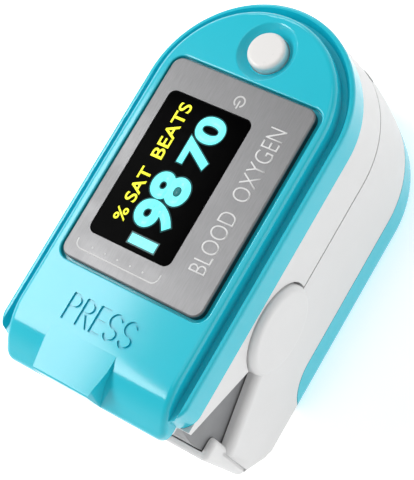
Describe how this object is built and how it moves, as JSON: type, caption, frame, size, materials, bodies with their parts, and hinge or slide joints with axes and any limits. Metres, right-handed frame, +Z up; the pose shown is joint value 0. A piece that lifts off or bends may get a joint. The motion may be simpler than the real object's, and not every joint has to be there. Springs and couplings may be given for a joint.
{
  "type": "fingertip pulse oximeter",
  "caption": "Small hinged clip worn on a fingertip, with a glossy cyan cover, a brushed plate round a dark display, a round power button and sprung white jaws.",
  "frame": {"origin": "middle of the footprint, on the surface it stands on", "axes": "+Y to the rounded end where the finger goes in, -Y to the end that is pressed, +Z up through the display"},
  "size_m": [0.0338, 0.0632, 0.0342],
  "materials": {
    "cyan_gloss": "high gloss",
    "white_shell": "fine satin",
    "grey_frame": "satin",
    "black_plastic": "satin",
    "brushed_plate": "brushed",
    "dark_window": "polished",
    "white_button": "gloss",
    "switch_metal": "satin",
    "board_green": "satin",
    "chip_black": "matte",
    "led_clear": "polished",
    "clear_window": "polished",
    "silicone": "matte",
    "cell_sleeve": "gloss",
    "contact_metal": "satin",
    "pin_steel": "satin",
    "flex_film": "satin"
  },
  "bodies": {
    "lower_half": {"battery_cell_left": "cell_sleeve", "battery_cell_right": "cell_sleeve", "battery_contact_link": "contact_metal", "battery_contact_negative": "contact_metal", "battery_contact_positive": "contact_metal", "detector_board": "board_green", "detector_window": "clear_window", "hinge_flex": "flex_film", "hinge_pin_left": "pin_steel", "hinge_pin_right": "pin_steel", "lower_bed": "grey_frame", "lower_finger_pad": "silicone", "lower_housing": "white_shell", "lower_screws": "pin_steel", "photodiode": "chip_black", "torsion_spring_left": "pin_steel", "torsion_spring_right": "pin_steel"},
    "upper_half": {"top_cover": "cyan_gloss", "upper_housing": "white_shell", "upper_frame": "grey_frame", "face_plate": "brushed_plate", "display_bezel": "black_plastic", "display_window": "dark_window", "oled_panel": "dark_window", "oled_frame": "black_plastic", "main_board": "board_green", "controller_chip": "chip_black", "small_chips": "chip_black", "tact_switch": "switch_metal", "emitter_board": "board_green", "emitter_led": "led_clear", "emitter_window": "clear_window", "upper_finger_pad": "silicone", "upper_screws": "pin_steel"},
    "power_button": {"power_button": "white_button", "switch_plunger": "white_button"},
    "battery_door": {"battery_door": "cyan_gloss"}
  },
  "joints": [
    {"name": "jaw_hinge", "type": "hinge", "parent": "lower_half", "child": "upper_half", "pos_m": [0, -0.0103, 0.0203], "axis": [1, 0, 0], "range_deg": [0, 16], "stiffness_Nm_per_rad": 0.12, "springref_deg": -20.05, "deforming": ["torsion_spring_left", "torsion_spring_right", "hinge_flex"]},
    {"name": "button_press", "type": "slide", "parent": "upper_half", "child": "power_button", "axis": [0, 0, -1], "range_m": [0, 0.0004], "stiffness_N_per_m": 2500},
    {"name": "door_slide", "type": "slide", "parent": "lower_half", "child": "battery_door", "axis": [0, 1, 0], "range_m": [0, 0.006]}
  ]
}
